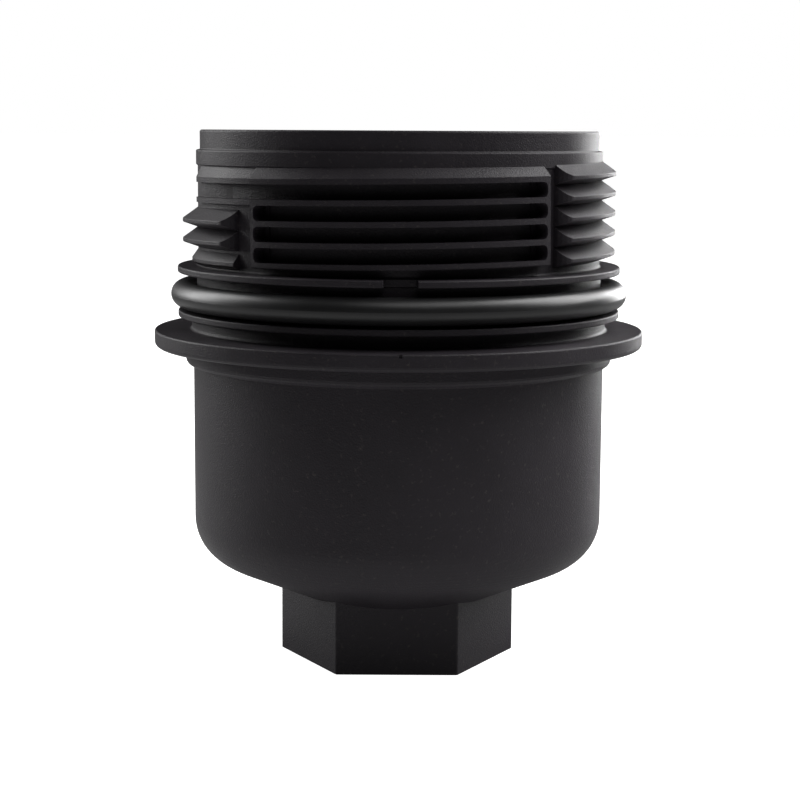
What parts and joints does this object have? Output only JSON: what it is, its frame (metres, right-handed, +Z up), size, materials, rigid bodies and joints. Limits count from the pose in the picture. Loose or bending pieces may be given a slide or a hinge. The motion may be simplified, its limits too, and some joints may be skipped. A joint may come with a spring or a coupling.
{
  "type": "cartridge oil filter",
  "caption": "Cartridge oil filter: screw-on plastic housing cap with interrupted thread, O-ring, flange and hexagon, holding a bypass valve and a lift-out pleated paper element.",
  "frame": {"origin": "centre of the hexagon's foot, the face that the part stands on", "axes": "+Z up the filter's axis, from the hexagon to the open rim; -Y is the side with the ring notch; +X is the side with all five thread ridges"},
  "size_m": [0.076, 0.076, 0.0822],
  "materials": {
    "shell_plastic": "fine matte moulded texture",
    "o_ring_rubber": "satin",
    "valve_plastic": "satin moulded nylon",
    "steel": "satin",
    "spring_steel": "drawn wire",
    "end_cap_plastic": "satin moulded",
    "filter_paper": "matte resin-treated paper"
  },
  "bodies": {
    "cap": {"cap_shell": "shell_plastic", "main_o_ring": "o_ring_rubber", "valve_cage": "valve_plastic", "valve_spring": "spring_steel", "spring_seat": "steel"},
    "poppet": {"valve_poppet": "steel", "valve_seal": "o_ring_rubber"},
    "element": {"lower_end_cap": "end_cap_plastic", "upper_end_cap": "end_cap_plastic", "pleated_media": "filter_paper", "core_tube": "end_cap_plastic", "seam_clip": "steel", "lower_grommet": "o_ring_rubber", "upper_grommet": "o_ring_rubber"}
  },
  "joints": [
    {"name": "bypass_lift", "type": "slide", "parent": "cap", "child": "poppet", "axis": [0, 0, 1], "range_m": [0, 0.004], "stiffness_N_per_m": 2000, "springref_m": -0.008, "deforming": ["valve_spring"]},
    {"name": "element_lift", "type": "slide", "parent": "cap", "child": "element", "axis": [0, 0, 1], "range_m": [0, 0.066]}
  ]
}
